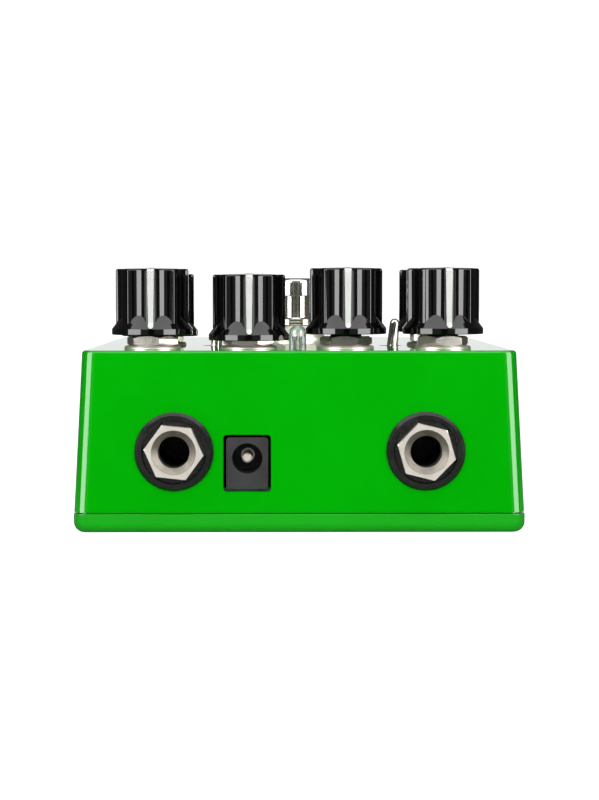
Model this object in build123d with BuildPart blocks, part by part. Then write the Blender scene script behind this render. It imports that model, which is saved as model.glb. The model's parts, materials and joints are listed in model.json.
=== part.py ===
from build123d import *
import os
from math import cos, radians, tan

os.makedirs("parts", exist_ok=True)

# Guitar effects pedal: a die-cast box with six knobs, two small toggles, a lamp and a
# footswitch on top, and two quarter-inch jacks and a power inlet in its -Y end wall.
# Millimetres. +Z is up, +X is right as seen from the jack end, and the origin is the
# centre of the base.

# ---------------------------------------------------------------- enclosure sizes
lid_width = 97.0
lid_length = 119.9
lid_height = 4.1
lid_floor = 2.3
lid_base_round = 2.2
lid_top_round = 0.15
body_width = 96.8
body_length = 119.7
body_top = 39.0
wall = 2.3
draft = tan(radians(2.85))
corner_round = 3.0
top_edge_round = 0.7
seam_height = 0.3
seam_depth = 1.3
lip_height = 1.4
lip_gap = 0.3
boss_radius = 3.9
boss_x = 42.4
boss_y = 53.8
screw_radius = 1.7
screw_head_radius = 3.2
screw_length = 11.0
panel_under = body_top - wall

# ---------------------------------------------------------------- control positions
front_row_y = -43.2
back_row_y = -14.2
knob_places = [
    (-32.3, front_row_y),
    (-11.0, front_row_y),
    (10.4, front_row_y),
    (31.8, front_row_y),
    (-32.3, back_row_y),
    (31.8, back_row_y),
]
knob_drops = [0.15, 1.4, 0.0, 0.0, 1.15, 0.15]
knob_turns = [0.8, 1.1, 1.4, 5.4, 0.0, 0.0]
nut_turns = [-12, -10, -5, 12, 20, -24]
lamp_place = (0.0, back_row_y)
toggle_y = -20.5
toggle_places = [(21.4, toggle_y), (-19.4, toggle_y)]
toggle_names = ["right", "left"]
footswitch_place = (0.0, 39.8)

# ---------------------------------------------------------------- knobs
knob_height = 14.45
knob_crown = 0.25
knob_crown_radius = 6.2
knob_base = body_top + 3.25
skirt_radius = 8.9
skirt_rim = 1.3
ridge_radius = 8.0
ridge_base = 2.5
ridge_edge_round = 0.3
flute_count = 8
flute_floor = 6.85
flute_radius = 3.2
flute_arch = 4.25
knob_top_round = 0.55
knob_hollow_radius = 6.6
knob_hollow = 2.95
pointer_width = 1.5
pointer_toe_width = 1.15
pointer_proud = 0.22
pointer_inlay = 0.6
pointer_low = 1.45
set_screw_radius = 1.45
set_screw_height = 7.55

# ---------------------------------------------------------------- potentiometers
shaft_radius = 3.0
shaft_top = body_top + 13.7
running_gap = 0.05
pot_width = 9.7
pot_front = 5.0
pot_back = 6.6
pot_height = 6.5
pot_floor = panel_under - pot_height
pot_thread_radius = 3.5
pot_thread_top = body_top + 3.9
pot_hole_radius = 3.7
pot_washer_radius = 6.2
pot_washer_top = body_top + 0.7
pot_nut_flats = 10.0
pot_nut_top = body_top + 2.8
thread_pitch = 0.75

# ---------------------------------------------------------------- boards
board_thickness = 1.6
main_board_top = pot_floor
main_board_under = main_board_top - board_thickness
main_board_width = 74.0
main_board_front = -53.0
main_board_back = 13.0
jack_board_top = 9.45
jack_board_width = 73.0
jack_board_front = -56.2

# ---------------------------------------------------------------- jacks
jack_places = [(-26.8, 17.45), (27.0, 17.55)]
jack_nut_turns = [-6, -14]
plug_bore = 3.4
jack_thread_radius = 4.75
jack_nut_flats = 11.0
jack_washer_radius = 8.45
jack_dish_radius = 6.65
jack_washer_proud = 1.5
jack_dish_proud = 0.8
jack_nut_proud = 3.1
jack_face_y = -body_length / 2 + (jack_places[0][1] - lid_height) * draft
jack_body_front = -56.4
jack_body_width = 15.6
jack_body_depth = 23.0
jack_body_top = 25.1
plug_channel = 3.6

# ---------------------------------------------------------------- power inlet
inlet_x = -11.2
inlet_z = 14.95
inlet_width = 9.0
inlet_height = 11.0
inlet_depth = 14.0
inlet_front = -58.6
inlet_window = (10.2, 12.2)
inlet_hole_z = 15.95
inlet_hole_radius = 3.25
inlet_hole_depth = 10.0
inlet_pin_radius = 1.05

# ---------------------------------------------------------------- lamp
lens_radius = 2.03
lens_top = body_top + 4.7
lens_base = panel_under - 1.1
lens_flange = 2.5
lamp_hole = 2.2

# ---------------------------------------------------------------- toggles
toggle_lean = 5.5
toggle_pivot_z = body_top - 5.2
toggle_tip = 11.5
toggle_tip_radius = 1.12
toggle_root_radius = 1.3
toggle_ball = 1.6
toggle_case_width = 8.0
toggle_case_depth = 5.2
toggle_case_top = panel_under - 0.1
toggle_collar_radius = 2.55
toggle_collar_top = body_top - 0.8
toggle_bore = 2.1
toggle_hole = 2.7

# ---------------------------------------------------------------- footswitch
switch_bush_radius = 6.0
switch_bush_top = body_top + 5.6
switch_case_side = 17.2
switch_case_top = 33.3
switch_case_base = 19.5
switch_stem_radius = 3.875
switch_cap_radius = 5.0
switch_cap_base = body_top + 11.1
switch_cap_top = body_top + 15.75
switch_flange_radius = 5.6
switch_flange = 1.5
switch_roof = 1.2
switch_floor = 2.0
switch_nut_flats = 14.0
switch_nut_low = body_top + 1.1
switch_nut_high = body_top + 3.5
switch_spring_radius = 4.2
switch_spring_wire = 0.7
switch_spring_turns = 5.0
switch_board_top = 18.2
lug_pitch = (4.7, 5.3)


# ---------------------------------------------------------------- shared shapes
bevel_slope = 0.55


def turned(points):
    """A solid turned about Z from an outline of (radius, height) points."""
    with BuildPart() as made:
        with BuildSketch(Plane.XZ):
            with BuildLine():
                Polyline(*points, close=True)
            make_face()
        revolve(axis=Axis.Z)
    return made.part


def ring_points(inner, outer, low, high):
    """The (radius, height) outline of a plain ring."""
    return [(inner, low), (outer, low), (outer, high), (inner, high)]


def thread_points(inner, outer, low, high, depth):
    """The outline of a ring whose outside has thread-like grooves."""
    points = [(inner, low)]
    count = int((high - low) / thread_pitch)
    step = (high - low) / count
    for index in range(count):
        base = low + index * step
        points.append((outer - depth, base))
        points.append((outer, base + 0.5 * step))
    points.append((outer - depth, high))
    points.append((inner, high))
    return points


def hex_nut(flats, bore, low, high, bevel):
    """A hexagon nut with its corners turned off at both faces, by bevel across the face."""
    corner = flats / 2 / cos(radians(30))
    blank = turned(
        [
            (bore, low),
            (corner - bevel, low),
            (corner, low + bevel_slope * bevel),
            (corner, high - bevel_slope * bevel),
            (corner - bevel, high),
            (bore, high),
        ]
    )
    with BuildPart() as made:
        with BuildSketch(Plane.XY.offset(low)):
            RegularPolygon(flats / 2, 6, major_radius=False)
        extrude(amount=high - low)
        add(blank, mode=Mode.INTERSECT)
    return made.part


def placed(piece, places):
    """Copies of one piece, each a separate solid, at the given locations."""
    with BuildPart() as made:
        with Locations(*places):
            add(piece)
    return made.part


def on_panel(places, turns):
    """Upright locations at (x, y), each turned about its own axis."""
    return [Location((x, y, 0), (0, 0, turn)) for (x, y), turn in zip(places, turns)]


def out_of_wall(places, turns, depth):
    """Locations in the jack wall whose +Z points out, along -Y."""
    faces = [Location((x, depth, z), (90, 0, 0)) for x, z in places]
    return [face * Location((0, 0, 0), (0, 0, turn)) for face, turn in zip(faces, turns)]


def drafted_block(low, high, low_inset, high_inset, corner):
    """The box's tapered outline between two heights, moved inwards at each of them."""
    with BuildPart() as made:
        for height, inset in ((low, low_inset), (high, high_inset)):
            shrink = 2 * (height - lid_height) * draft + 2 * inset
            with BuildSketch(Plane.XY.offset(height)):
                RectangleRounded(body_width - shrink, body_length - shrink, corner)
        loft(ruled=True)
    return made.part


boss_places = [(x, y) for x in (-boss_x, boss_x) for y in (-boss_y, boss_y)]

# ---------------------------------------------------------------- enclosure shell
seam_top = lid_height + seam_height
outer_block = drafted_block(seam_top, body_top, 0, 0, corner_round)
seam_block = drafted_block(lid_height, seam_top, seam_depth, seam_depth, corner_round - seam_depth)
inner_block = drafted_block(lid_height, panel_under, wall, wall, corner_round / 2)

with BuildPart() as shell:
    add(outer_block)
    fillet(shell.edges().group_by(Axis.Z)[-1], top_edge_round)
    add(seam_block)
    add(inner_block, mode=Mode.SUBTRACT)
    with BuildSketch(Plane.XY.offset(lid_height)):
        with Locations(*boss_places):
            Circle(boss_radius)
    extrude(amount=panel_under - lid_height + 0.5)
    with BuildSketch(Plane.XY.offset(lid_height)):
        with Locations(*boss_places):
            Circle(screw_radius)
    extrude(amount=screw_length, mode=Mode.SUBTRACT)
    with BuildSketch(Plane.XY.offset(panel_under - 1)):
        with Locations(*knob_places):
            Circle(pot_hole_radius)
        with Locations(lamp_place):
            Circle(lamp_hole)
        with Locations(*toggle_places):
            Circle(toggle_hole)
        with Locations(footswitch_place):
            Circle(switch_bush_radius + 0.1)
    extrude(amount=wall + 2, mode=Mode.SUBTRACT)
    with BuildSketch(Plane.XZ.offset(body_length / 2 + 1)):
        with Locations(*jack_places):
            Circle(jack_thread_radius + 0.1)
        with Locations((inlet_x, inlet_z)):
            RectangleRounded(*inlet_window, 0.8)
    extrude(amount=-5, mode=Mode.SUBTRACT)
shell.part.label = "enclosure_shell"
export_step(shell.part, "parts/enclosure_shell.step")

# ---------------------------------------------------------------- bottom lid
head_depth = screw_head_radius - screw_radius
inner_width = body_width - 2 * wall
inner_length = body_length - 2 * wall
lip_thickness = 1.6

with BuildPart() as lid:
    with BuildSketch():
        RectangleRounded(lid_width, lid_length, corner_round)
    extrude(amount=lid_height)
    fillet(lid.edges().group_by(Axis.Z)[0], lid_base_round)
    fillet(lid.edges().group_by(Axis.Z)[-1], lid_top_round)
    with BuildSketch(Plane.XY.offset(lid_height)):
        RectangleRounded(inner_width, inner_length, corner_round / 2)
        with Locations(*boss_places):
            Circle(boss_radius + 1, mode=Mode.SUBTRACT)
    extrude(amount=lid_floor - lid_height, mode=Mode.SUBTRACT)
    with BuildSketch(Plane.XY.offset(lid_floor)):
        RectangleRounded(inner_width - 2 * lip_gap, inner_length - 2 * lip_gap, 1.2)
        offset(amount=-lip_thickness, kind=Kind.INTERSECTION, mode=Mode.SUBTRACT)
        with Locations(*boss_places):
            Rectangle(2 * boss_radius + 6, 2 * boss_radius + 6, mode=Mode.SUBTRACT)
    extrude(amount=lid_height + lip_height - lid_floor)
    with Locations(*[Location((x, y, 0), (180, 0, 0)) for x, y in boss_places]):
        CounterSinkHole(screw_radius + 0.1, screw_head_radius + 0.1)
lid.part.label = "bottom_lid"
export_step(lid.part, "parts/bottom_lid.step")

screw = turned(
    [
        (0, 0.1),
        (screw_head_radius - 0.05, 0.1),
        (screw_radius - 0.02, 0.15 + head_depth),
        (screw_radius - 0.02, screw_length + lid_height - 1),
        (0, screw_length + lid_height - 0.5),
    ]
)
with BuildPart() as screws:
    add(placed(screw, [Location((x, y, 0)) for x, y in boss_places]))
    with BuildSketch():
        with Locations(*boss_places):
            for turn in (0, 90):
                Rectangle(3.4, 0.8, rotation=turn + 20)
    extrude(amount=1.3, mode=Mode.SUBTRACT)
screws.part.label = "lid_screws"
export_step(screws.part, "parts/lid_screws.step")


# ---------------------------------------------------------------- knobs
skirt_slope = (skirt_radius - ridge_radius) / (ridge_base - skirt_rim)
pointer_toe = skirt_radius - skirt_slope * (pointer_low - skirt_rim)


def pointer_strip(outer):
    """A strip across the top, down a ridge and over the skirt, towards -Y, inside an outline."""
    deep = pointer_inlay
    inner = [
        (-pointer_toe + deep, pointer_low),
        (-ridge_radius + deep, ridge_base + 0.3),
        (-ridge_radius + deep, knob_height - deep),
        (0, knob_height - deep),
    ]
    toe_height = pointer_low + pointer_toe_width / 2
    with BuildPart() as made:
        with BuildSketch(Plane.YZ):
            with BuildLine():
                Polyline(*outer, *inner, close=True)
            make_face()
        extrude(amount=pointer_width / 2, both=True)
        with BuildSketch(Plane.XZ.offset(-1)):
            with BuildLine():
                Polyline(
                    (-pointer_toe_width / 2, toe_height),
                    (pointer_toe_width / 2, toe_height),
                    (pointer_width / 2, knob_height + 1),
                    (-pointer_width / 2, knob_height + 1),
                    close=True,
                )
            make_face()
            with Locations((0, toe_height)):
                Circle(pointer_toe_width / 2)
        extrude(amount=skirt_radius + 2, mode=Mode.INTERSECT)
    return made.part


pointer_front = -ridge_radius - pointer_proud
pointer_blank = pointer_strip(
    [
        (0, knob_height + knob_crown + 0.02),
        (-0.5 * knob_crown_radius, knob_height + 0.75 * knob_crown + 0.02),
        (-knob_crown_radius, knob_height + 0.02),
        (-ridge_radius + knob_top_round, knob_height + 0.02),
        (-ridge_radius + 0.3 * knob_top_round, knob_height - 0.25 * knob_top_round),
        (-ridge_radius - 0.02, knob_height - knob_top_round),
        (pointer_front, knob_height - knob_top_round - 0.15),
        (pointer_front, ridge_base + 0.1),
        (-pointer_toe - pointer_proud, pointer_low),
    ]
)
pointer_slot = pointer_strip(
    [
        (0, knob_height + 0.9),
        (-ridge_radius - 1, knob_height + 0.9),
        (-ridge_radius - 1, ridge_base),
        (-pointer_toe - 1, pointer_low),
    ]
)
with BuildPart() as crown_blank:
    with BuildSketch(Plane.XZ):
        with BuildLine():
            Polyline(
                (0, knob_height + knob_crown),
                (0, knob_height - 0.5),
                (knob_crown_radius, knob_height - 0.5),
                (knob_crown_radius, knob_height),
            )
            TangentArc((0, knob_height + knob_crown), (knob_crown_radius, knob_height), tangent=(1, 0))
        make_face()
    revolve(axis=Axis.Z)

skirt_blank = turned(
    [
        (0, 0),
        (skirt_radius - 0.15, 0),
        (skirt_radius, 0.15),
        (skirt_radius, skirt_rim),
        (ridge_radius, ridge_base),
        (flute_floor, flute_arch),
        (0, flute_arch),
    ]
)

with BuildPart() as knob_blank:
    with BuildSketch(Plane.XY.offset(ridge_base - 0.5)):
        Circle(ridge_radius)
    extrude(amount=knob_height - ridge_base + 0.5)
    with BuildSketch():
        with PolarLocations(flute_floor + flute_radius, flute_count, start_angle=180 / flute_count):
            Circle(flute_radius)
    extrude(amount=knob_height + 1, mode=Mode.SUBTRACT)
    fillet(knob_blank.edges().filter_by(Axis.Z), ridge_edge_round)
    fillet(knob_blank.edges().group_by(Axis.Z)[-1], knob_top_round)
    add(crown_blank.part)
    add(skirt_blank)
    with BuildSketch():
        Circle(knob_hollow_radius)
    extrude(amount=knob_hollow, mode=Mode.SUBTRACT)
    with BuildSketch(Plane.XY.offset(knob_hollow)):
        Circle(shaft_radius + 0.02)
    extrude(amount=knob_height - knob_hollow - 1.8, mode=Mode.SUBTRACT)
    with BuildSketch(Plane.XZ):
        with Locations((0, set_screw_height)):
            Circle(set_screw_radius + 0.03)
    extrude(amount=-skirt_radius, mode=Mode.SUBTRACT)
    add(pointer_slot, mode=Mode.SUBTRACT)

with BuildPart() as set_screw_blank:
    with BuildSketch(Plane.XZ.offset(-shaft_radius - 0.03)):
        with Locations((0, set_screw_height)):
            Circle(set_screw_radius)
    extrude(amount=-3.4)
    with BuildSketch(Plane.XZ.offset(-shaft_radius - 3.43)):
        with Locations((0, set_screw_height)):
            RegularPolygon(0.75, 6)
    extrude(amount=1.6, mode=Mode.SUBTRACT)

with BuildPart() as shaft_blank:
    add(
        turned(
            [
                (0, pot_floor + 1.2),
                (3.9, pot_floor + 1.2),
                (3.9, pot_floor + 2.2),
                (shaft_radius, pot_floor + 2.2),
                (shaft_radius, shaft_top - 0.4),
                (shaft_radius - 0.4, shaft_top),
                (0, shaft_top),
            ]
        )
    )
    with BuildSketch(Plane.XY.offset(shaft_top)):
        Rectangle(1.0, 3 * shaft_radius)
    extrude(amount=-2.0, mode=Mode.SUBTRACT)

for index, (x, y) in enumerate(knob_places):
    number = index + 1
    upright = Location((x, y, 0), (0, 0, knob_turns[index]))
    seated = Location((x, y, knob_base - knob_drops[index]), (0, 0, knob_turns[index]))
    with BuildPart() as knob:
        with Locations(seated):
            add(knob_blank.part)
    knob.part.label = f"control_knob_{number}"
    export_step(knob.part, f"parts/control_knob_{number}.step")
    with BuildPart() as pointer:
        with Locations(seated):
            add(pointer_blank)
    pointer.part.label = f"knob_pointer_{number}"
    export_step(pointer.part, f"parts/knob_pointer_{number}.step")
    with BuildPart() as set_screw:
        with Locations(seated):
            add(set_screw_blank.part)
    set_screw.part.label = f"knob_set_screw_{number}"
    export_step(set_screw.part, f"parts/knob_set_screw_{number}.step")
    with BuildPart() as pot_shaft:
        with Locations(upright):
            add(shaft_blank.part)
    pot_shaft.part.label = f"pot_shaft_{number}"
    export_step(pot_shaft.part, f"parts/pot_shaft_{number}.step")

# ---------------------------------------------------------------- potentiometers
pot_rise = pot_back - pot_front

with BuildPart() as pot_cases:
    with BuildSketch(Plane.XY.offset(pot_floor)):
        with Locations(*[(x, y + pot_rise / 2) for x, y in knob_places]):
            RectangleRounded(pot_width, pot_front + pot_back, 0.6)
    extrude(amount=pot_height)
    with BuildSketch(Plane.XY.offset(pot_floor + 0.9)):
        with Locations(*knob_places):
            Circle(4.2)
    extrude(amount=pot_height - 2.1, mode=Mode.SUBTRACT)
    with BuildSketch(Plane.XY.offset(pot_floor + 2)):
        with Locations(*knob_places):
            Circle(shaft_radius + running_gap)
    extrude(amount=pot_height, mode=Mode.SUBTRACT)
pot_cases.part.label = "pot_cases"
export_step(pot_cases.part, "parts/pot_cases.step")

bushing = turned(
    thread_points(shaft_radius + running_gap, pot_thread_radius, panel_under, pot_thread_top, 0.15)
)
with BuildPart() as pot_bushings:
    add(placed(bushing, on_panel(knob_places, nut_turns)))
pot_bushings.part.label = "pot_bushings"
export_step(pot_bushings.part, "parts/pot_bushings.step")

pot_washer = turned(
    [
        (pot_thread_radius + 0.1, body_top),
        (pot_washer_radius - 0.05, body_top),
        (pot_washer_radius, body_top + 0.1),
        (pot_washer_radius, body_top + 0.28),
        (pot_washer_radius - 0.22, pot_washer_top - 0.08),
        (pot_washer_radius - 0.5, pot_washer_top),
        (pot_thread_radius + 0.1, pot_washer_top),
    ]
)
with BuildPart() as pot_washers:
    add(placed(pot_washer, on_panel(knob_places, nut_turns)))
pot_washers.part.label = "pot_washers"
export_step(pot_washers.part, "parts/pot_washers.step")

pot_nut = hex_nut(pot_nut_flats, pot_thread_radius, pot_washer_top, pot_nut_top, 0.75)
with BuildPart() as pot_nuts:
    add(placed(pot_nut, on_panel(knob_places, nut_turns)))
pot_nuts.part.label = "pot_nuts"
export_step(pot_nuts.part, "parts/pot_nuts.step")

pot_leg_y = pot_back + 0.6
pot_leg_places = [(x + side, y + pot_leg_y) for x, y in knob_places for side in (-2.5, 0, 2.5)]
with BuildPart() as pot_leg:
    with BuildSketch(Plane.YZ):
        with BuildLine():
            Polyline(
                (-0.6, pot_floor + 1.8),
                (0.2, pot_floor + 1.8),
                (0.2, main_board_under - 0.8),
                (-0.2, main_board_under - 0.8),
                (-0.2, pot_floor + 1.4),
                (-0.6, pot_floor + 1.4),
                close=True,
            )
        make_face()
    extrude(amount=0.4, both=True)
# ---------------------------------------------------------------- indicator lamp
post_width = 0.7
leg_spread = 1.27
leg_base = main_board_under - 0.8
post_height = lens_top - 2.9 - leg_base
lens_arc_base = lens_top - lens_radius

with BuildPart() as lead_frame:
    for side, bowl in ((-1, 1.25), (1, 0.8)):
        with BuildSketch(Plane.XZ.offset(-back_row_y)):
            with Locations((side * leg_spread / 2, leg_base)):
                Rectangle(post_width, post_height, align=(Align.CENTER, Align.MIN))
            with Locations((side * 0.62, lens_top - 3.2)):
                Rectangle(bowl * 0.85, 1.0)
        extrude(amount=0.28, both=True)
lead_frame.part.label = "lamp_lead_frame"
export_step(lead_frame.part, "parts/lamp_lead_frame.step")

with BuildPart() as lens:
    with BuildSketch(Plane.XZ.offset(-back_row_y)):
        with BuildLine():
            Line((0, lens_base), (lens_flange, lens_base))
            Line((lens_flange, lens_base), (lens_flange, lens_base + 1.0))
            Line((lens_flange, lens_base + 1.0), (lens_radius, lens_base + 1.0))
            Line((lens_radius, lens_base + 1.0), (lens_radius, lens_arc_base))
            RadiusArc((lens_radius, lens_arc_base), (0, lens_top), -lens_radius)
            Line((0, lens_top), (0, lens_base))
        make_face()
    revolve(axis=Axis((0, back_row_y, 0), (0, 0, 1)))
    add(lead_frame.part, mode=Mode.SUBTRACT)
lens.part.label = "lamp_lens"
export_step(lens.part, "parts/lamp_lens.step")

# ---------------------------------------------------------------- toggle switches
neck = 1.0
ball_cut = (toggle_ball**2 - neck**2) ** 0.5
toggle_tip_base = toggle_tip - toggle_tip_radius
with BuildPart() as lever_blank:
    with BuildSketch(Plane.XZ):
        with BuildLine():
            Polyline((0, -2.4), (neck, -2.4), (neck, -ball_cut))
            RadiusArc((neck, -ball_cut), (neck, ball_cut), -toggle_ball)
            Polyline(
                (neck, ball_cut),
                (neck, 2.6),
                (toggle_root_radius, 3.6),
                (toggle_root_radius, 5.2),
                (toggle_tip_radius, toggle_tip_base),
            )
            RadiusArc((toggle_tip_radius, toggle_tip_base), (0, toggle_tip), -toggle_tip_radius)
            Line((0, toggle_tip), (0, -2.4))
        make_face()
    revolve(axis=Axis.Z)

for (x, y), name in zip(toggle_places, toggle_names):
    with BuildPart() as lever:
        with Locations(Location((x, y, toggle_pivot_z), (0, toggle_lean, 0))):
            add(lever_blank.part)
    lever.part.label = f"toggle_lever_{name}"
    export_step(lever.part, f"parts/toggle_lever_{name}.step")

toggle_case_height = toggle_case_top - main_board_top
with BuildPart() as toggle_cases:
    with BuildSketch(Plane.XY.offset(main_board_top)):
        with Locations(*toggle_places):
            RectangleRounded(toggle_case_width, toggle_case_depth, 0.4)
    extrude(amount=toggle_case_height)
    with BuildSketch(Plane.XY.offset(main_board_top + 0.8)):
        with Locations(*toggle_places):
            Rectangle(toggle_case_width - 1.6, toggle_case_depth - 1.2)
    extrude(amount=toggle_case_height - 1.6, mode=Mode.SUBTRACT)
    with BuildSketch(Plane.XY.offset(main_board_top + 3)):
        with Locations(*toggle_places):
            Circle(toggle_bore)
    extrude(amount=toggle_case_height, mode=Mode.SUBTRACT)
toggle_cases.part.label = "toggle_cases"
export_step(toggle_cases.part, "parts/toggle_cases.step")

collar = turned(
    [
        (toggle_bore, toggle_case_top),
        (toggle_collar_radius, toggle_case_top),
        (toggle_collar_radius, toggle_collar_top - 0.2),
        (toggle_collar_radius - 0.2, toggle_collar_top),
        (toggle_bore + 0.1, toggle_collar_top),
    ]
)
with BuildPart() as toggle_collars:
    add(placed(collar, on_panel(toggle_places, (0, 0))))
toggle_collars.part.label = "toggle_bushings"
export_step(toggle_collars.part, "parts/toggle_bushings.step")

toggle_leg_places = [(x + side, y) for x, y in toggle_places for side in (-2.54, 0, 2.54)]
# ---------------------------------------------------------------- footswitch
switch_x, switch_y = footswitch_place
switch_at = Location((switch_x, switch_y, 0))
cavity_base = switch_case_base + switch_floor
cavity_top = switch_case_top - switch_roof
flange_low = cavity_top - 0.05 - switch_flange

with BuildPart() as switch_case:
    with BuildSketch(Plane.XY.offset(switch_case_base)):
        with Locations(footswitch_place):
            RectangleRounded(switch_case_side, switch_case_side, 0.8)
    extrude(amount=switch_case_top - switch_case_base)
    with BuildSketch(Plane.XY.offset(cavity_base)):
        with Locations(footswitch_place):
            Circle(6.4)
    extrude(amount=cavity_top - cavity_base, mode=Mode.SUBTRACT)
    with BuildSketch(Plane.XY.offset(cavity_base)):
        with Locations(footswitch_place):
            Circle(switch_stem_radius + 0.3)
    extrude(amount=switch_case_top, mode=Mode.SUBTRACT)
switch_case.part.label = "footswitch_case"
export_step(switch_case.part, "parts/footswitch_case.step")

switch_bore = switch_stem_radius + 0.08
switch_bush_outline = thread_points(
    switch_bore, switch_bush_radius, switch_case_top, switch_bush_top, 0.35
)
with BuildPart() as switch_bush:
    with Locations(switch_at):
        add(turned(switch_bush_outline))
    chamfer(switch_bush.edges().group_by(Axis.Z)[-1].sort_by(SortBy.RADIUS)[0], 0.4)
switch_bush.part.label = "footswitch_bushing"
export_step(switch_bush.part, "parts/footswitch_bushing.step")

switch_nut_height = switch_nut_high - switch_nut_low
jam_nut_low = panel_under - switch_nut_height
top_nut = hex_nut(switch_nut_flats, switch_bush_radius, switch_nut_low, switch_nut_high, 0.85)
jam_nut = hex_nut(switch_nut_flats, switch_bush_radius, jam_nut_low, panel_under, 0.85)
with BuildPart() as switch_nuts:
    with Locations(switch_at * Location((0, 0, 0), (0, 0, 10))):
        add(top_nut)
        add(jam_nut)
switch_nuts.part.label = "footswitch_nuts"
export_step(switch_nuts.part, "parts/footswitch_nuts.step")

washer_split = body_top + 0.4
with BuildPart() as switch_washers:
    with Locations(switch_at):
        add(turned(ring_points(switch_bush_radius + 0.1, 8.4, body_top, washer_split)))
        add(turned(ring_points(switch_bush_radius + 0.1, 7.4, washer_split + 0.02, switch_nut_low)))
switch_washers.part.label = "footswitch_washers"
export_step(switch_washers.part, "parts/footswitch_washers.step")

with BuildPart() as plunger:
    with Locations(switch_at):
        add(
            turned(
                [
                    (0, flange_low),
                    (switch_flange_radius, flange_low),
                    (switch_flange_radius, flange_low + switch_flange),
                    (switch_stem_radius, flange_low + switch_flange),
                    (switch_stem_radius, switch_cap_base),
                    (switch_cap_radius - 0.3, switch_cap_base),
                    (switch_cap_radius, switch_cap_base + 0.3),
                    (switch_cap_radius, switch_cap_top),
                    (0, switch_cap_top),
                ]
            )
        )
    fillet(plunger.edges().group_by(Axis.Z)[-1], 1.1)
plunger.part.label = "footswitch_plunger"
export_step(plunger.part, "parts/footswitch_plunger.step")

spring_length = flange_low - cavity_base - switch_spring_wire - 0.1
spring_start = cavity_base + switch_spring_wire / 2 + 0.05
with BuildPart() as spring:
    with BuildLine():
        helix = Helix(
            spring_length / switch_spring_turns,
            spring_length,
            switch_spring_radius,
            center=(switch_x, switch_y, spring_start),
        )
    with BuildSketch(Plane(helix @ 0, z_dir=helix % 0)):
        Circle(switch_spring_wire / 2)
    sweep(path=helix, is_frenet=True)
spring.part.label = "footswitch_spring"
export_step(spring.part, "parts/footswitch_spring.step")

lug_places = [
    (switch_x + column * lug_pitch[0], switch_y + row * lug_pitch[1])
    for column in (-1, 0, 1)
    for row in (-1, 0, 1)
]
with BuildPart() as lugs:
    with BuildSketch(Plane.XY.offset(switch_board_top - board_thickness - 1.0)):
        with Locations(*lug_places):
            Rectangle(2.4, 0.9)
    extrude(amount=switch_case_base - switch_board_top + board_thickness + 1.0)
lugs.part.label = "footswitch_terminals"
export_step(lugs.part, "parts/footswitch_terminals.step")

# ---------------------------------------------------------------- quarter-inch jacks
jack_seat = out_of_wall(jack_places, (0, 0), jack_face_y)
bushing_back = jack_body_front - jack_face_y

jack_washer = turned(
    [
        (jack_thread_radius + 0.1, -1.0),
        (jack_washer_radius, -1.0),
        (jack_washer_radius, jack_washer_proud - 0.8),
        (jack_washer_radius - 0.7, jack_washer_proud),
        (jack_dish_radius + 0.25, jack_washer_proud),
        (jack_dish_radius, jack_dish_proud),
        (jack_thread_radius + 0.1, jack_dish_proud),
    ]
)
with BuildPart() as jack_washers:
    add(placed(jack_washer, jack_seat))
    add(outer_block, mode=Mode.SUBTRACT)
jack_washers.part.label = "jack_washers"
export_step(jack_washers.part, "parts/jack_washers.step")

jack_nut = hex_nut(jack_nut_flats, jack_thread_radius, jack_dish_proud, jack_nut_proud, 0.12)
with BuildPart() as jack_nuts:
    add(placed(jack_nut, out_of_wall(jack_places, jack_nut_turns, jack_face_y)))
jack_nuts.part.label = "jack_nuts"
export_step(jack_nuts.part, "parts/jack_nuts.step")

mouth_depth = 1.3
jack_bushing_outline = thread_points(
    plug_bore, jack_thread_radius, -bushing_back, jack_nut_proud - 0.2, 0.25
)[:-1]
jack_bushing_outline += [
    (jack_thread_radius - 0.05, jack_nut_proud + 0.1),
    (plug_bore, jack_nut_proud + 0.1 - mouth_depth),
]
with BuildPart() as jack_bushings:
    add(placed(turned(jack_bushing_outline), jack_seat))
jack_bushings.part.label = "jack_bushings"
export_step(jack_bushings.part, "parts/jack_bushings.step")

jack_xs = [x for x, z in jack_places]
jack_z = jack_places[0][1]
contact_slot = 3.0
tip_contact_y = jack_body_front + 17.5
sleeve_contact_y = jack_body_front + 4.5

with BuildPart() as jack_housings:
    with BuildSketch(Plane.XY.offset(jack_board_top)):
        with Locations(*[(x, jack_body_front + jack_body_depth / 2) for x in jack_xs]):
            RectangleRounded(jack_body_width, jack_body_depth, 0.8)
    extrude(amount=jack_body_top - jack_board_top)
    with BuildSketch(Plane.XZ.offset(-jack_body_front)):
        with Locations(*jack_places):
            Circle(plug_channel)
    extrude(amount=-jack_body_depth + 1.5, mode=Mode.SUBTRACT)
    with BuildSketch(Plane.XZ.offset(-jack_body_front - 2.0)):
        with Locations(*jack_places):
            Rectangle(jack_body_width - 2.0, contact_slot)
    extrude(amount=-jack_body_depth + 4.0, mode=Mode.SUBTRACT)
jack_housings.part.label = "jack_housings"
export_step(jack_housings.part, "parts/jack_housings.step")


def contact_strip(side, touch_y):
    """A bent spring strip beside the plug channel, on its -X or +X side."""
    near = side * (plug_channel + 0.1)
    far = side * (jack_body_width / 2 - 1.6)
    thick = side * 0.4
    with BuildPart() as made:
        with BuildSketch(Plane.XY.offset(jack_z - 1.1)):
            with BuildLine():
                Polyline(
                    (far, touch_y - 2.2),
                    (near, touch_y),
                    (far, touch_y + 2.6),
                    (far, jack_body_front + jack_body_depth - 2.2),
                    (far + thick, jack_body_front + jack_body_depth - 2.2),
                    (far + thick, touch_y + 2.4),
                    (near + thick, touch_y),
                    (far + thick, touch_y - 2.2),
                    close=True,
                )
            make_face()
        extrude(amount=2.2)
    return made.part


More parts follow.
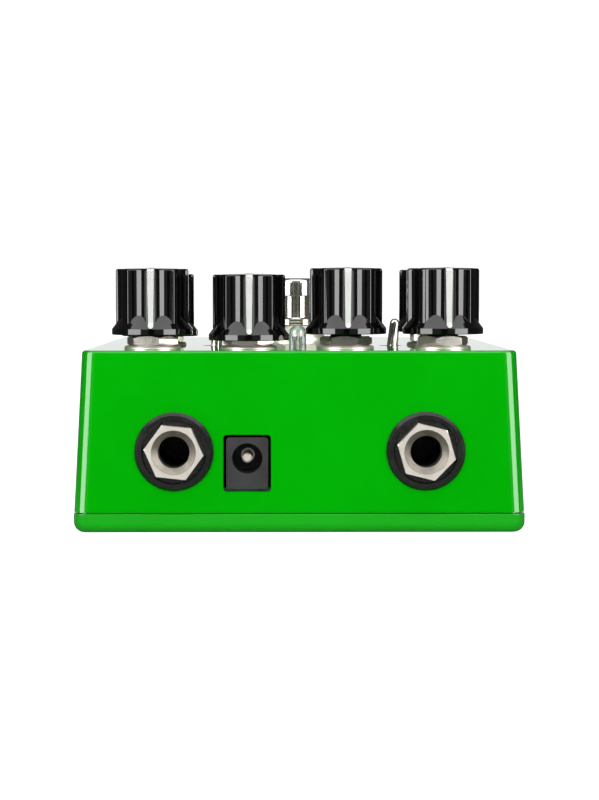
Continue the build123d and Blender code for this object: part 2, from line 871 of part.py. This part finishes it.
with BuildPart() as jack_contacts:
    with Locations(*[(x, 0) for x in jack_xs]):
        add(contact_strip(1, tip_contact_y))
        add(contact_strip(-1, sleeve_contact_y))
jack_contacts.part.label = "jack_contacts"
export_step(jack_contacts.part, "parts/jack_contacts.step")

# ---------------------------------------------------------------- power inlet
pin_root_y = inlet_front + inlet_hole_depth
pin_tip_y = inlet_front + 0.9

with BuildPart() as inlet:
    with BuildSketch(Plane.XZ.offset(-inlet_front)):
        with Locations((inlet_x, inlet_z)):
            RectangleRounded(inlet_width, inlet_height, 0.7)
    extrude(amount=-inlet_depth)
    with BuildSketch(Plane.XZ.offset(-inlet_front)):
        with Locations((inlet_x, inlet_hole_z)):
            Circle(inlet_hole_radius)
    extrude(amount=-inlet_hole_depth, mode=Mode.SUBTRACT)
    with BuildSketch(Plane.XZ.offset(-pin_root_y)):
        with Locations((inlet_x, inlet_hole_z)):
            Circle(1.5)
    extrude(amount=-inlet_depth, mode=Mode.SUBTRACT)
inlet.part.label = "power_inlet_housing"
export_step(inlet.part, "parts/power_inlet_housing.step")

pin_length = pin_root_y - pin_tip_y
with BuildPart() as inlet_pin:
    with Locations(Location((inlet_x, pin_root_y, inlet_hole_z), (90, 0, 0))):
        add(
            turned(
                [
                    (0, -inlet_depth + inlet_hole_depth),
                    (1.5, -inlet_depth + inlet_hole_depth),
                    (1.5, 0),
                    (inlet_pin_radius, 0),
                    (inlet_pin_radius, pin_length - 0.35),
                    (inlet_pin_radius - 0.35, pin_length),
                    (0, pin_length),
                ]
            )
        )
inlet_pin.part.label = "power_inlet_pin"
export_step(inlet_pin.part, "parts/power_inlet_pin.step")

# ---------------------------------------------------------------- circuit boards
header_y = -29.5
header_columns = [-7.62 + 2.54 * column for column in range(7)]
wire_columns = [-4.0 + 1.6 * column for column in range(6)]
wire_front_y = 8.0
wire_back_y = 27.0
header_places = [(x, header_y) for x in header_columns]

jack_board_back_edge = header_y + 3.0
with BuildPart() as jack_board:
    with BuildSketch(Plane.XY.offset(jack_board_top - board_thickness)):
        with Locations((0, (jack_board_front + jack_board_back_edge) / 2)):
            RectangleRounded(jack_board_width, jack_board_back_edge - jack_board_front, 1.0)
        with Locations(*header_places):
            Circle(0.6, mode=Mode.SUBTRACT)
    extrude(amount=board_thickness)
jack_board.part.label = "jack_board"
export_step(jack_board.part, "parts/jack_board.step")

lamp_leg_places = [(side * leg_spread / 2, back_row_y) for side in (-1, 1)]
with BuildPart() as main_board:
    with BuildSketch(Plane.XY.offset(main_board_under)):
        with Locations((0, (main_board_front + main_board_back) / 2)):
            RectangleRounded(main_board_width, main_board_back - main_board_front, 1.5)
        with Locations(*header_places):
            Circle(0.6, mode=Mode.SUBTRACT)
        with Locations(*pot_leg_places):
            Circle(0.65, mode=Mode.SUBTRACT)
        with Locations(*toggle_leg_places):
            Circle(0.7, mode=Mode.SUBTRACT)
        with Locations(*lamp_leg_places):
            Circle(0.5, mode=Mode.SUBTRACT)
    extrude(amount=board_thickness)
main_board.part.label = "main_board"
export_step(main_board.part, "parts/main_board.step")

switch_board_depth = 24.0
with BuildPart() as switch_board:
    with BuildSketch(Plane.XY.offset(switch_board_top - board_thickness)):
        with Locations((switch_x, switch_y + switch_case_side / 2)):
            Rectangle(switch_case_side, switch_board_depth, align=(Align.CENTER, Align.MAX))
        with Locations(*lug_places):
            Rectangle(2.7, 1.2, mode=Mode.SUBTRACT)
    extrude(amount=board_thickness)
switch_board.part.label = "footswitch_board"
export_step(switch_board.part, "parts/footswitch_board.step")

with BuildPart() as header:
    with BuildSketch(Plane.XY.offset(jack_board_top)):
        with Locations((0, header_y)):
            Rectangle(18.0, 2.5)
        with Locations(*header_places):
            Rectangle(0.7, 0.7, mode=Mode.SUBTRACT)
    extrude(amount=main_board_under - jack_board_top)
header.part.label = "board_header"
export_step(header.part, "parts/board_header.step")

pin_tail = 0.8
with BuildPart() as board_pins:
    add(placed(pot_leg.part, [Location((x, y, 0)) for x, y in pot_leg_places]))
    with BuildSketch(Plane.XY.offset(main_board_under - pin_tail)):
        with Locations(*toggle_leg_places):
            Rectangle(0.7, 0.9)
    extrude(amount=board_thickness + pin_tail)
    with BuildSketch(Plane.XY.offset(jack_board_top - board_thickness - pin_tail)):
        with Locations(*header_places):
            Rectangle(0.64, 0.64)
    extrude(amount=main_board_top - jack_board_top + board_thickness + 2 * pin_tail)
board_pins.part.label = "board_pins"
export_step(board_pins.part, "parts/board_pins.step")

# ---------------------------------------------------------------- board components
chip_places = [(-22, -14), (-22, -4), (0, -21.5), (0, -4), (22, -14), (22, -4)]
with BuildPart() as chips:
    with BuildSketch(Plane.XY.offset(main_board_under - 3.8)):
        with Locations(*chip_places):
            Rectangle(9.6, 6.4)
            with Locations((4.8, 0)):
                Circle(0.9, mode=Mode.SUBTRACT)
    extrude(amount=3.8)
chips.part.label = "amplifier_chips"
export_step(chips.part, "parts/amplifier_chips.step")

capacitor_places = [(x, y) for x in (-33, -12, 12, 33) for y in (-27, 6)]
with BuildPart() as electrolytics:
    with Locations(*[Location((x, y, 0)) for x, y in capacitor_places]):
        add(
            turned(
                [
                    (0, main_board_under),
                    (3.0, main_board_under),
                    (3.15, main_board_under - 1.0),
                    (2.85, main_board_under - 1.5),
                    (3.15, main_board_under - 2.0),
                    (3.15, main_board_under - 7.0),
                    (2.9, main_board_under - 7.3),
                    (0, main_board_under - 7.3),
                ]
            )
        )
electrolytics.part.label = "electrolytic_capacitors"
export_step(electrolytics.part, "parts/electrolytic_capacitors.step")

resistor_places = [(x, y) for x in (-11, 11) for y in (-21, -17, -10, -6, -2)]
resistor_z = main_board_under - 1.3
with BuildPart() as resistor_blank:
    with BuildSketch(Plane.YZ.offset(-3.1)):
        Circle(1.1)
    extrude(amount=6.2)
    with BuildSketch(Plane.YZ.offset(-4.6)):
        Circle(0.3)
    extrude(amount=9.2)
    with BuildSketch():
        with Locations((-4.3, 0), (4.3, 0)):
            Circle(0.3)
    extrude(amount=1.3)
film_places = [(x, y) for x in (-33, 33) for y in (-20, -15, -10.5, -3)]
film_height = 6.5
with BuildPart() as passives:
    add(placed(resistor_blank.part, [Location((x, y, resistor_z)) for x, y in resistor_places]))
    with BuildSketch(Plane.XY.offset(main_board_under - film_height)):
        with Locations(*film_places):
            RectangleRounded(7.2, 2.6, 0.3)
    extrude(amount=film_height)
passives.part.label = "resistors_and_film_capacitors"
export_step(passives.part, "parts/resistors_and_film_capacitors.step")

wire_level = 24.0
wire_radius = 0.55
with BuildPart() as wires:
    for x in wire_columns:
        with BuildLine(mode=Mode.PRIVATE):
            route = FilletPolyline(
                (x, wire_back_y, switch_board_top),
                (x, wire_back_y, wire_level),
                (x, wire_front_y, wire_level),
                (x, wire_front_y, main_board_under),
                radius=2.0,
            )
        with BuildSketch(Plane(route @ 0, z_dir=route % 0)):
            Circle(wire_radius)
        sweep(path=route)
wires.part.label = "footswitch_wires"
export_step(wires.part, "parts/footswitch_wires.step")
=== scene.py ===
import json
import math

import bmesh
import bpy
from mathutils import Matrix, Vector


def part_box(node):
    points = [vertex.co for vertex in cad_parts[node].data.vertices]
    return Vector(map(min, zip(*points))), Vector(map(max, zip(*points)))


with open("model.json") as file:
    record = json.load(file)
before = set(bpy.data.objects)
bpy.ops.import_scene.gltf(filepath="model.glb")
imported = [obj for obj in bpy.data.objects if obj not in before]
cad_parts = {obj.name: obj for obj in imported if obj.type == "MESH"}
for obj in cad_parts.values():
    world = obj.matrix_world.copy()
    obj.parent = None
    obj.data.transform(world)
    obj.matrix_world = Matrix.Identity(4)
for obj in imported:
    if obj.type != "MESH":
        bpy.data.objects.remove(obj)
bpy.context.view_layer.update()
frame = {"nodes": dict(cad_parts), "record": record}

MM = 0.001

# ------------------------------------------------------------------ places from the frame
shell_low, shell_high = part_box("enclosure_shell")
lid_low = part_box("bottom_lid")[0]
PANEL = shell_high.z
WALL_DRAFT = math.radians(2.85)
PANEL_HALF_LENGTH = shell_high.y - (shell_high.z - shell_low.z) * math.tan(WALL_DRAFT)


# ------------------------------------------------------------------ node helpers
def map_range(tree, value, low, high, to_low, to_high, interpolation="LINEAR"):
    """A value moved from one range to another and held inside it."""
    node = tree.nodes.new("ShaderNodeMapRange")
    node.interpolation_type = interpolation
    limits = {"From Min": low, "From Max": high, "To Min": to_low, "To Max": to_high}
    for name, number in limits.items():
        node.inputs[name].default_value = number
    tree.links.new(value, node.inputs["Value"])
    return node.outputs["Result"]


class Shader:
    """A material with a Principled shader and short ways to add nodes to it."""

    def __init__(self, name):
        self.material = bpy.data.materials.new(name)
        self.material.use_nodes = True
        self.tree = self.material.node_tree
        self.principled = self.tree.nodes["Principled BSDF"]
        coordinates = self.tree.nodes.new("ShaderNodeTexCoord")
        self.place = coordinates.outputs["Object"]

    def set(self, **values):
        """Sets the shader's own sockets, such as Base_Color or Roughness."""
        for name, value in values.items():
            self.principled.inputs[name.replace("_", " ")].default_value = value

    def link(self, output, name):
        """Feeds one of the shader's sockets from a node."""
        self.tree.links.new(output, self.principled.inputs[name])

    def noise(self, per_metre, detail=2.0, roughness=0.5, squeeze=(1, 1, 1)):
        """A noise value between 0 and 1, squeezed along the axes by the factors given."""
        mapping = self.tree.nodes.new("ShaderNodeMapping")
        mapping.inputs["Scale"].default_value = squeeze
        self.tree.links.new(self.place, mapping.inputs["Vector"])
        noise = self.tree.nodes.new("ShaderNodeTexNoise")
        noise.inputs["Scale"].default_value = per_metre
        noise.inputs["Detail"].default_value = detail
        noise.inputs["Roughness"].default_value = roughness
        self.tree.links.new(mapping.outputs["Vector"], noise.inputs["Vector"])
        return noise.outputs["Fac"]

    def cells(self, per_metre):
        """The distance to the nearest of many scattered points."""
        voronoi = self.tree.nodes.new("ShaderNodeTexVoronoi")
        voronoi.inputs["Scale"].default_value = per_metre
        self.tree.links.new(self.place, voronoi.inputs["Vector"])
        return voronoi.outputs["Distance"]

    def remap(self, value, low, high, to_low=0.0, to_high=1.0):
        """A value of this material moved from one range to another."""
        return map_range(self.tree, value, low, high, to_low, to_high)

    def mix(self, factor, first, second):
        """A colour between two others."""
        node = self.tree.nodes.new("ShaderNodeMix")
        node.data_type = "RGBA"
        self.tree.links.new(factor, node.inputs["Factor"])
        node.inputs["A"].default_value = (*first, 1.0)
        node.inputs["B"].default_value = (*second, 1.0)
        return node.outputs["Result"]

    def bump(self, height, distance):
        """A bump on the shader, distance metres high."""
        node = self.tree.nodes.new("ShaderNodeBump")
        node.inputs["Distance"].default_value = distance
        node.inputs["Strength"].default_value = 1.0
        self.tree.links.new(height, node.inputs["Height"])
        self.link(node.outputs["Normal"], "Normal")


# ------------------------------------------------------------------ materials
def plastic(name, colour, other, roughness, grain, grain_height):
    """A moulded plastic with a slight cloudiness, uneven gloss and a surface grain."""
    shader = Shader(name)
    shader.set(IOR=1.5)
    clouds = shader.remap(shader.noise(160, 4.0), 0.35, 0.65)
    shader.link(shader.mix(clouds, colour, other), "Base Color")
    smudges = shader.noise(420, 3.0)
    shader.link(shader.remap(smudges, 0.35, 0.65, *roughness), "Roughness")
    shader.bump(shader.noise(grain, 2.0), grain_height)
    return shader.material


def metal(name, colour, other, roughness, metallic=1.0, squeeze=(1, 1, 1)):
    """A plated or turned metal: fine scratches across the squeezed axis and uneven gloss."""
    shader = Shader(name)
    shader.set(Metallic=metallic)
    clouds = shader.remap(shader.noise(500, 3.0), 0.35, 0.65)
    shader.link(shader.mix(clouds, colour, other), "Base Color")
    scratches = shader.noise(4000, 3.0, 0.6, squeeze)
    shader.link(shader.remap(scratches, 0.3, 0.7, *roughness), "Roughness")
    shader.bump(scratches, 0.0015 * MM)
    return shader.material


def green_enamel():
    """Gloss green enamel over a casting: orange peel, slight shade changes and a clear skin."""
    shader = Shader("green_enamel")
    shader.set(IOR=1.5, Roughness=0.4, Specular_IOR_Level=0.0)
    shader.set(Coat_Weight=1.0, Coat_Roughness=0.025, Coat_IOR=1.5)
    clouds = shader.remap(shader.noise(60, 4.0), 0.3, 0.7)
    shader.link(shader.mix(clouds, (0.0, 0.40, 0.0005), (0.0, 0.43, 0.001)), "Base Color")
    orange_peel = shader.noise(550, 2.0)
    shader.bump(orange_peel, 0.004 * MM)
    return shader.material


def clear_epoxy():
    """The lamp's clear resin, with faint ripples in its skin."""
    shader = Shader("clear_epoxy")
    shader.set(IOR=1.12, Transmission_Weight=0.75, Coat_Weight=1.0, Coat_Roughness=0.03)
    tint = shader.noise(300, 2.0)
    shader.link(shader.mix(tint, (0.94, 0.96, 1.0), (0.98, 0.99, 1.0)), "Base Color")
    shader.link(shader.remap(shader.noise(900), 0.3, 0.7, 0.01, 0.04), "Roughness")
    ripples = shader.noise(700, 1.0)
    shader.bump(ripples, 0.002 * MM)
    return shader.material


def circuit_board():
    """Green solder mask with darker copper areas under it and an uneven gloss."""
    shader = Shader("circuit_board_green")
    shader.set(IOR=1.5, Coat_Weight=0.4, Coat_Roughness=0.1)
    pours = shader.remap(shader.cells(260), 0.35, 0.4)
    shader.link(shader.mix(pours, (0.01, 0.11, 0.05), (0.015, 0.17, 0.075)), "Base Color")
    shader.link(shader.remap(shader.noise(800), 0.3, 0.7, 0.3, 0.45), "Roughness")
    shader.bump(pours, 0.03 * MM)
    return shader.material


# Each plastic: two shades, the range of its roughness, the grain per metre and its height.
PLASTICS = {
    "black_phenolic": (
        (0.0012, 0.0012, 0.0012), (0.0022, 0.002, 0.002), (0.05, 0.09), 900, 0.001 * MM,
    ),
    "white_inlay": ((0.66, 0.66, 0.64), (0.73, 0.73, 0.72), (0.3, 0.45), 1500, 0.003 * MM),
    "matte_black_plastic": (
        (0.009, 0.009, 0.0095), (0.014, 0.014, 0.0145), (0.45, 0.6), 2200, 0.01 * MM,
    ),
    "black_nylon": (
        (0.003, 0.0035, 0.003), (0.005, 0.0055, 0.005), (0.22, 0.34), 1400, 0.006 * MM,
    ),
    "chip_epoxy": ((0.018, 0.018, 0.02), (0.028, 0.028, 0.03), (0.5, 0.7), 3000, 0.01 * MM),
    "capacitor_sleeve": ((0.01, 0.014, 0.05), (0.014, 0.018, 0.065), (0.2, 0.32), 700, 0.01 * MM),
    "film_box": ((0.32, 0.03, 0.015), (0.4, 0.045, 0.02), (0.2, 0.35), 1200, 0.004 * MM),
    "wire_jacket": ((0.25, 0.012, 0.012), (0.33, 0.02, 0.018), (0.4, 0.55), 1500, 0.01 * MM),
}

# Each metal: two shades and the range of its roughness, then how metallic it is where that
# isn't 1, and how its scratches are squeezed. The platings are set a little under fully
# metallic, which softens their contrast.
LATHE_RINGS = (1, 1, 12)
METALS = {
    "nickel_plate": ((0.80, 0.74, 0.66), (0.88, 0.82, 0.74), (0.30, 0.42), 0.75),
    "satin_nickel": ((0.22, 0.20, 0.17), (0.30, 0.275, 0.235), (0.40, 0.55), 0.9),
    "bright_chrome": ((0.56, 0.52, 0.47), (0.64, 0.60, 0.55), (0.08, 0.14), 0.9),
    "steel_dark": ((0.35, 0.34, 0.33), (0.45, 0.44, 0.43), (0.3, 0.45)),
    "turned_steel": (
        (0.55, 0.55, 0.55), (0.65, 0.65, 0.65), (0.18, 0.3), 1.0, LATHE_RINGS,
    ),
    "lead_frame_metal": ((0.5, 0.49, 0.46), (0.62, 0.6, 0.56), (0.25, 0.4)),
    "tinned_metal": ((0.62, 0.62, 0.6), (0.74, 0.73, 0.7), (0.22, 0.38)),
    "spring_steel": ((0.5, 0.5, 0.5), (0.6, 0.6, 0.6), (0.15, 0.28)),
}

MATERIALS = {
    "green_enamel": green_enamel(),
    "clear_epoxy": clear_epoxy(),
    "circuit_board_green": circuit_board(),
    **{name: plastic(name, *recipe) for name, recipe in PLASTICS.items()},
    **{name: metal(name, *recipe) for name, recipe in METALS.items()},
}

for subpart in frame["record"]["subparts"]:
    node = frame["nodes"][subpart["node"]]
    node.data.materials.clear()
    node.data.materials.append(MATERIALS[subpart["material_slot"]])


# ------------------------------------------------------------------ stage
FLOOR_SIZE = 4.0
FLOOR_FRONT = -0.42
FLOOR_GAP = 0.02 * MM
FLOOR_GLOW = 1.1
FLOOR_SHADE = 0.42


def studio_floor():
    """A plain pale sheet that isn't part of the object. It glows for the eye only."""
    centre = (0, FLOOR_FRONT + FLOOR_SIZE / 2, lid_low.z - FLOOR_GAP)
    mesh = bpy.data.meshes.new("studio_floor")
    builder = bmesh.new()
    bmesh.ops.create_grid(
        builder, x_segments=1, y_segments=1, size=FLOOR_SIZE / 2, matrix=Matrix.Translation(centre)
    )
    builder.to_mesh(mesh)
    builder.free()
    sheet = bpy.data.objects.new("studio_floor", mesh)
    bpy.context.scene.collection.objects.link(sheet)

    shader = Shader("studio_floor")
    shader.set(Roughness=0.9, IOR=1.3, Emission_Color=(1, 1, 1, 1))
    clouds = shader.noise(3.0)
    shader.link(shader.mix(clouds, [FLOOR_SHADE] * 3, [0.99 * FLOOR_SHADE] * 3), "Base Color")
    path = shader.tree.nodes.new("ShaderNodeLightPath")
    glow = shader.tree.nodes.new("ShaderNodeMath")
    glow.operation = "MULTIPLY"
    glow.inputs[1].default_value = FLOOR_GLOW
    shader.tree.links.new(path.outputs["Is Camera Ray"], glow.inputs[0])
    shader.link(glow.outputs["Value"], "Emission Strength")
    mesh.materials.append(shader.material)


studio_floor()

# ------------------------------------------------------------------ lights
LIT_POINT = Vector((0, -0.04, 0.03))


def soft_box(name, azimuth, elevation, distance, width, height, radiance, seen_in):
    """A rectangular light that faces the pedal. Azimuth 0 is the camera's side, 90 the right.

    seen_in is "gloss" for a light that only shows as a reflection and "shade" for one that
    only brightens the colours.
    """
    turn, lift = math.radians(azimuth), math.radians(elevation)
    across, towards = math.sin(turn) * math.cos(lift), -math.cos(turn) * math.cos(lift)
    direction = Vector((across, towards, math.sin(lift)))
    data = bpy.data.lights.new(name, "AREA")
    data.shape = "RECTANGLE"
    data.size = width
    data.size_y = height
    data.energy = radiance * math.pi * width * height
    lamp = bpy.data.objects.new(name, data)
    lamp.location = LIT_POINT + distance * direction
    lamp.rotation_euler = direction.to_track_quat("Z", "Y").to_euler()
    lamp.visible_camera = False
    lamp.visible_glossy = seen_in == "gloss"
    lamp.visible_transmission = seen_in == "gloss"
    lamp.visible_diffuse = seen_in == "shade"
    bpy.context.scene.collection.objects.link(lamp)


# name, azimuth, elevation, distance, width, height, radiance, what it is seen in
soft_box("left_strip", -51, 12, 0.65, 0.45, 0.60, 8.5, "gloss")
soft_box("right_strip", 52, 12, 0.65, 0.46, 0.60, 8.5, "gloss")
soft_box("ceiling", 0, 70, 0.75, 1.80, 0.60, 2.7, "gloss")
soft_box("front_fill", 0, 15, 0.90, 1.20, 0.80, 3.1, "shade")
soft_box("top_fill", 0, 75, 0.80, 1.20, 0.80, 0.9, "shade")

BACKDROP = 1.05


def studio_world():
    """Plain white for the eye. For everything else it is white behind the pedal, grey beside
    the camera and dark round it. A direction's y runs from -1, at the camera, to 1, behind."""
    world = bpy.data.worlds.new("studio")
    world.use_nodes = True
    bpy.context.scene.world = world
    tree = world.node_tree
    background = tree.nodes["Background"]
    background.inputs["Color"].default_value = (1, 1, 1, 1)

    place = tree.nodes.new("ShaderNodeTexCoord")
    parts = tree.nodes.new("ShaderNodeSeparateXYZ")
    tree.links.new(place.outputs["Generated"], parts.inputs["Vector"])
    towards_back = parts.outputs["Y"]
    ahead = map_range(tree, towards_back, -0.994, -0.98, 0.02, 0.28, "SMOOTHSTEP")
    aside = map_range(tree, towards_back, -0.80, -0.10, 0.0, -0.20, "SMOOTHSTEP")
    behind = map_range(tree, towards_back, 0.95, 0.985, 0.0, 0.85, "SMOOTHSTEP")
    total = ahead
    for part in (aside, behind):
        add = tree.nodes.new("ShaderNodeMath")
        add.operation = "ADD"
        tree.links.new(total, add.inputs[0])
        tree.links.new(part, add.inputs[1])
        total = add.outputs["Value"]

    path = tree.nodes.new("ShaderNodeLightPath")
    strength = tree.nodes.new("ShaderNodeMix")
    strength.inputs["B"].default_value = BACKDROP
    tree.links.new(path.outputs["Is Camera Ray"], strength.inputs["Factor"])
    tree.links.new(total, strength.inputs["A"])
    tree.links.new(strength.outputs["Result"], background.inputs["Strength"])


studio_world()

# ------------------------------------------------------------------ camera
SENSOR_MM = 36.0
LENS_MM = 92.7
CLIP_START = 0.01
NEAR_EDGE_DISTANCE = 0.440
CAMERA_X = -4.27 * MM
CAMERA_RISE = 14.0 * MM
PITCH = math.radians(3.195)
YAW = math.radians(0.556)

camera_data = bpy.data.cameras.new("camera")
camera_data.sensor_width = SENSOR_MM
camera_data.lens = LENS_MM
camera_data.clip_start = CLIP_START
camera = bpy.data.objects.new("camera", camera_data)
camera.location = (CAMERA_X, -PANEL_HALF_LENGTH - NEAR_EDGE_DISTANCE, PANEL + CAMERA_RISE)
camera.rotation_euler = (math.radians(90) - PITCH, 0, -YAW)
bpy.context.scene.collection.objects.link(camera)
bpy.context.scene.camera = camera
bpy.context.scene.view_settings.view_transform = "Standard"
